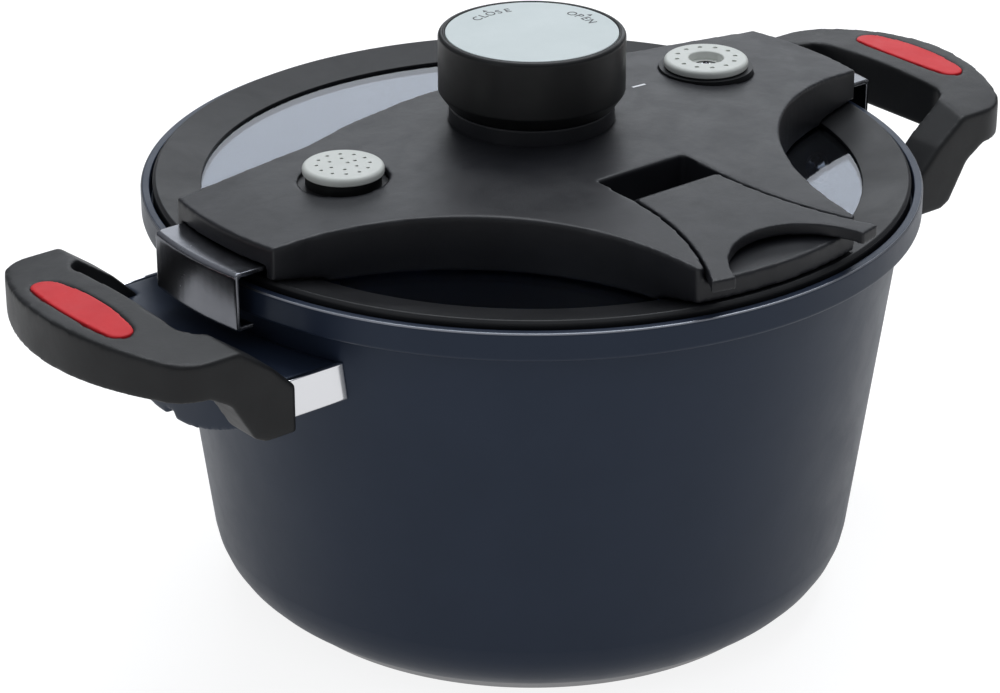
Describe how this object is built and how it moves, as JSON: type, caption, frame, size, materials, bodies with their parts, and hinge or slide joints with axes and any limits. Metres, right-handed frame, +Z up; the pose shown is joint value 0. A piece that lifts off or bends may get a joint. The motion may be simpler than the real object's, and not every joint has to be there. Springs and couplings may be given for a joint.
{
  "type": "stovetop pressure cooker",
  "caption": "Wide aluminium pressure pot with two loop handles and a glass lid locked by a turn knob that draws two sliding jaws under the rim.",
  "frame": {"origin": "centre of the pot's base, on the surface it stands on", "axes": "+Z up; +X through the two handles, the two valves and the two jaws, towards the float valve; -Y towards the flip-up stand"},
  "size_m": [0.381, 0.26, 0.1942],
  "materials": {
    "pot_coating": "satin blue-grey coating",
    "base_steel": "brushed",
    "bright_steel": "polished",
    "jaw_steel": "dark polished",
    "handle_phenolic": "matte",
    "red_inlay": "satin",
    "glass": "clear",
    "seal_silicone": "satin",
    "cover_plastic": "fine grain",
    "knob_plastic": "satin",
    "pale_plastic": "satin",
    "legend_plate": "satin",
    "bronze": "machined"
  },
  "bodies": {
    "pot": {"pot_body": "pot_coating", "base_disc": "base_steel", "handle_right": "handle_phenolic", "handle_inlay_right": "red_inlay", "handle_screws_right": "bright_steel", "handle_bracket_right": "pot_coating", "ferrule_front_right": "bright_steel", "ferrule_back_right": "bright_steel", "handle_rivets_right": "bright_steel", "handle_left": "handle_phenolic", "handle_inlay_left": "red_inlay", "handle_screws_left": "bright_steel", "handle_bracket_left": "pot_coating", "ferrule_front_left": "bright_steel", "ferrule_back_left": "bright_steel", "handle_rivets_left": "bright_steel"},
    "lid": {"lid_glass": "glass", "lid_seal": "seal_silicone", "lid_bridge": "base_steel", "cover_screws": "bright_steel", "spindle_bush": "bronze", "jaw_guide_inner_right": "base_steel", "jaw_guide_outer_right": "base_steel", "jaw_guide_inner_left": "base_steel", "jaw_guide_outer_left": "base_steel", "lid_cover": "cover_plastic", "stand_pin": "base_steel", "knob_collar": "cover_plastic", "relief_cap": "pale_plastic", "float_cap": "pale_plastic", "relief_stem": "bright_steel", "relief_gasket": "seal_silicone", "relief_nut": "bright_steel", "relief_cup": "knob_plastic", "relief_seat_ring": "seal_silicone", "float_stem": "bright_steel", "float_gasket": "seal_silicone", "float_nut": "bright_steel", "float_cup": "knob_plastic", "float_seat_ring": "seal_silicone"},
    "knob": {"knob_body": "knob_plastic", "knob_disc": "legend_plate", "knob_screw": "bright_steel", "spindle": "base_steel", "cam_plate": "base_steel"},
    "jaw_right": {"jaw_right": "jaw_steel", "jaw_pin_right": "bright_steel"},
    "jaw_left": {"jaw_left": "jaw_steel", "jaw_pin_left": "bright_steel"},
    "stand": {"stand": "cover_plastic"},
    "relief_plunger": {"relief_plunger": "bronze", "relief_spring": "bright_steel"},
    "float_pin": {"float_pin": "bright_steel", "float_seal": "seal_silicone"}
  },
  "joints": [
    {"name": "lid_lift", "type": "slide", "parent": "pot", "child": "lid", "axis": [0, 0, 1], "range_m": [0, 0.15]},
    {"name": "knob_turn", "type": "hinge", "parent": "lid", "child": "knob", "pos_m": [0, 0, 0.185], "axis": [0, 0, 1], "range_deg": [-90, 0]},
    {"name": "jaw_right_slide", "type": "slide", "parent": "lid", "child": "jaw_right", "axis": [1, 0, 0], "range_m": [-0.0053, 0]},
    {"name": "jaw_left_slide", "type": "slide", "parent": "lid", "child": "jaw_left", "axis": [-1, 0, 0], "range_m": [-0.0053, 0]},
    {"name": "stand_flip", "type": "hinge", "parent": "lid", "child": "stand", "pos_m": [0, -0.0735, 0.159], "axis": [-1, 0, 0], "range_deg": [0, 100]},
    {"name": "relief_lift", "type": "slide", "parent": "lid", "child": "relief_plunger", "axis": [0, 0, 1], "range_m": [0, 0.002], "stiffness_N_per_m": 400, "springref_m": -0.004},
    {"name": "float_lift", "type": "slide", "parent": "lid", "child": "float_pin", "axis": [0, 0, 1], "range_m": [0, 0.004]}
  ],
  "couplings": [
    {"joint": "jaw_right_slide", "follows": "knob_turn", "m_per_rad": 0.003374},
    {"joint": "jaw_left_slide", "follows": "knob_turn", "m_per_rad": 0.003374}
  ]
}
